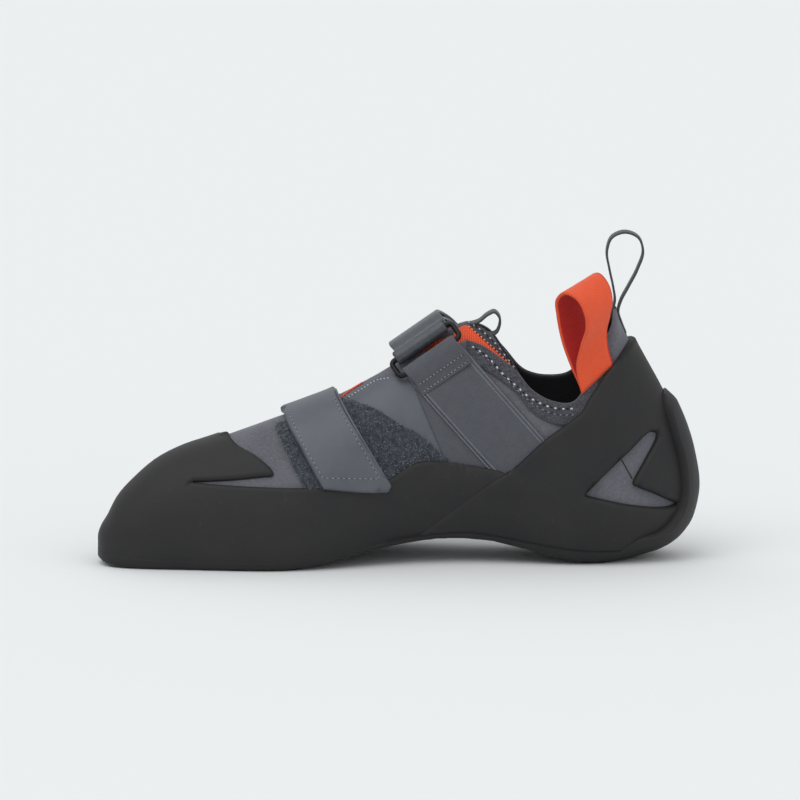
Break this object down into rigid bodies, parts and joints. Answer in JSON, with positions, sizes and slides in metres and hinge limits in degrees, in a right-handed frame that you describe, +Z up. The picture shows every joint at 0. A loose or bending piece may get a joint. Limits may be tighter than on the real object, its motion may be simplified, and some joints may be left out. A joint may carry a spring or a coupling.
{
  "type": "climbing shoe",
  "caption": "Climbing shoe for the right foot with rubber rands, an arched sole, two straps over the instep and two pull loops at the heel.",
  "frame": {"origin": "middle of the heel's flat spot on the floor, under the middle of the heel", "axes": "+X from the toe towards the back of the heel, +Y towards the little-toe side, +Z up"},
  "size_m": [0.2637, 0.092, 0.1437],
  "materials": {
    "rubber": "matt",
    "suede": "napped microfibre",
    "smooth": "smooth synthetic leather",
    "knit": "padded knit",
    "fuzz": "loop pile",
    "webbing": "woven webbing",
    "orange": "woven, matt",
    "footbed": "matt",
    "plastic": "moulded",
    "cord": "woven tape"
  },
  "bodies": {
    "root": {"upper": "suede", "outsole": "rubber", "toe_rand": "rubber", "heel_rand": "rubber", "insole": "footbed", "tongue": "knit", "throat_lining": "orange", "collar_band_inner": "knit", "collar_band_outer": "knit", "webbing_band": "webbing", "under_band": "webbing", "loop_patch": "fuzz", "front_strap": "smooth", "rear_strap": "smooth", "strap_ring": "plastic", "heel_pull_tab": "orange", "back_pull_loop": "cord", "tongue_loop": "cord"}
  },
  "joints": []
}
